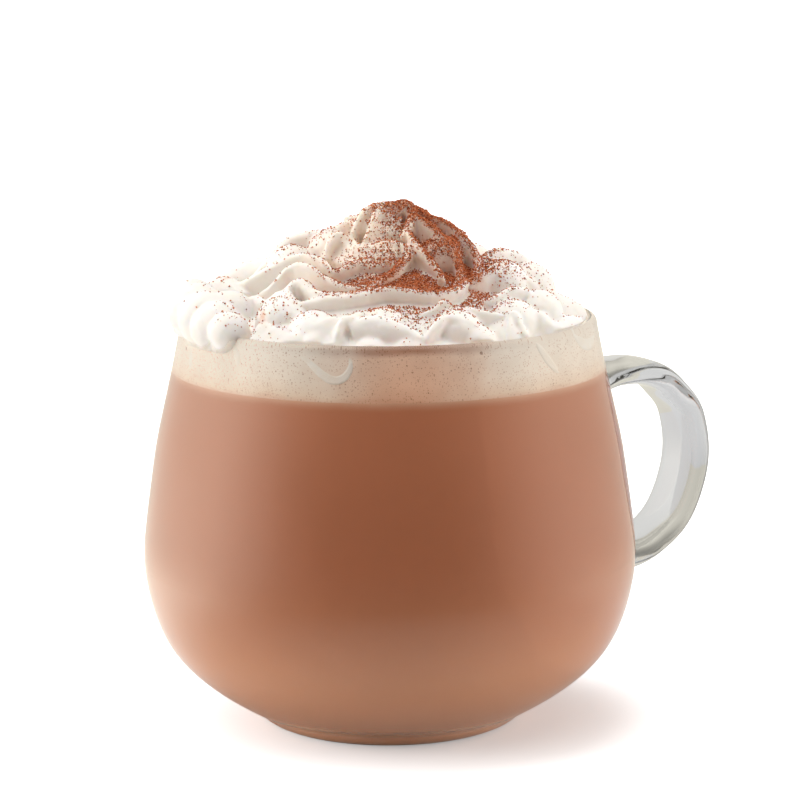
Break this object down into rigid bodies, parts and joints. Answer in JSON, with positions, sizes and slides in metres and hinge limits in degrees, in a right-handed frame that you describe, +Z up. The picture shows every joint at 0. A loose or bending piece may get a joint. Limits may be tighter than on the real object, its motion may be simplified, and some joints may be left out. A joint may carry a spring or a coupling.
{
  "type": "latte in a glass mug",
  "caption": "Latte in a round-bellied clear glass mug with a strap handle, topped with milk foam and piped whipped cream dusted with cinnamon.",
  "frame": {"origin": "centre of the mug's flat foot, on the surface it stands on", "axes": "+Z up; +X from the mug's axis towards its handle; the handle lies in the XZ plane"},
  "size_m": [0.1247, 0.0988, 0.1059],
  "materials": {
    "glass": "clear polished glass",
    "coffee": "milky coffee, opaque",
    "foam": "fine milk foam",
    "cream": "whipped cream, soft satin"
  },
  "bodies": {
    "root": {"glass_mug": "glass", "coffee": "coffee", "milk_foam": "foam", "whipped_cream": "cream"}
  },
  "joints": []
}
